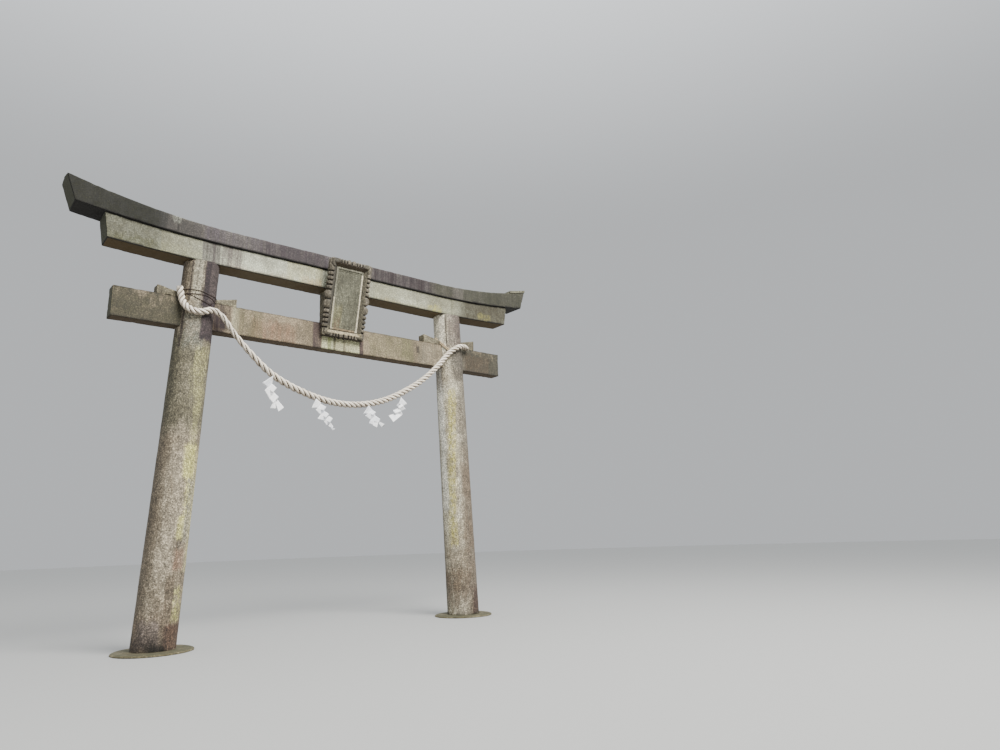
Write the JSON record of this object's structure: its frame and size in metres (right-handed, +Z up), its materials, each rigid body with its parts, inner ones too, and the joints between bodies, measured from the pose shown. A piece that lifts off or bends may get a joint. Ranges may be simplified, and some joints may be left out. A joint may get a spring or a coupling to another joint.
{
  "type": "stone torii gate",
  "caption": "Stone torii gate: two leaning tapered pillars on round base stones, wedged tie beam, upswept double lintel, framed tablet and a hanging twisted rope with paper streamers.",
  "frame": {"origin": "on the ground, midway between the two pillars", "axes": "+X along the beams, to the right seen from the front; +Y from the front to the back; +Z up"},
  "size_m": [8.271, 1, 6.3272],
  "materials": {
    "base_stone": "worn granite, level with the ground round it",
    "pillar_stone": "speckled granite, rain-streaked, with lichen",
    "beam_stone": "speckled warm granite with dark drips",
    "lower_lintel_stone": "pale granite with lichen patches",
    "top_lintel_stone": "dark weathered granite",
    "tablet_stone": "carved granite, dirt in the carving",
    "iron": "rusted",
    "straw_rope": "pale twisted rice straw",
    "paper": "white folded paper",
    "thin_cord": "thin weathered cord"
  },
  "bodies": {
    "root": {"left_base_stone": "base_stone", "right_base_stone": "base_stone", "left_pillar": "pillar_stone", "right_pillar": "pillar_stone", "tie_beam": "beam_stone", "left_outer_wedge": "beam_stone", "left_inner_wedge": "beam_stone", "right_inner_wedge": "beam_stone", "right_outer_wedge": "beam_stone", "middle_strut": "beam_stone", "lower_lintel_left": "lower_lintel_stone", "lower_lintel_middle": "lower_lintel_stone", "lower_lintel_right": "lower_lintel_stone", "top_lintel_left": "top_lintel_stone", "top_lintel_middle": "top_lintel_stone", "top_lintel_right": "top_lintel_stone", "right_end_slab": "top_lintel_stone", "tablet_top_board": "tablet_stone", "tablet_bottom_board": "tablet_stone", "tablet_left_board": "tablet_stone", "tablet_right_board": "tablet_stone", "tablet_panel": "tablet_stone", "tablet_moulding": "tablet_stone", "lower_stay_left": "iron", "lower_stay_right": "iron", "upper_stay_left": "iron", "upper_stay_right": "iron", "rope": "straw_rope", "streamer_1": "paper", "streamer_2": "paper", "streamer_3": "paper", "streamer_4": "paper", "left_tie": "thin_cord", "right_tie": "thin_cord"}
  },
  "joints": []
}
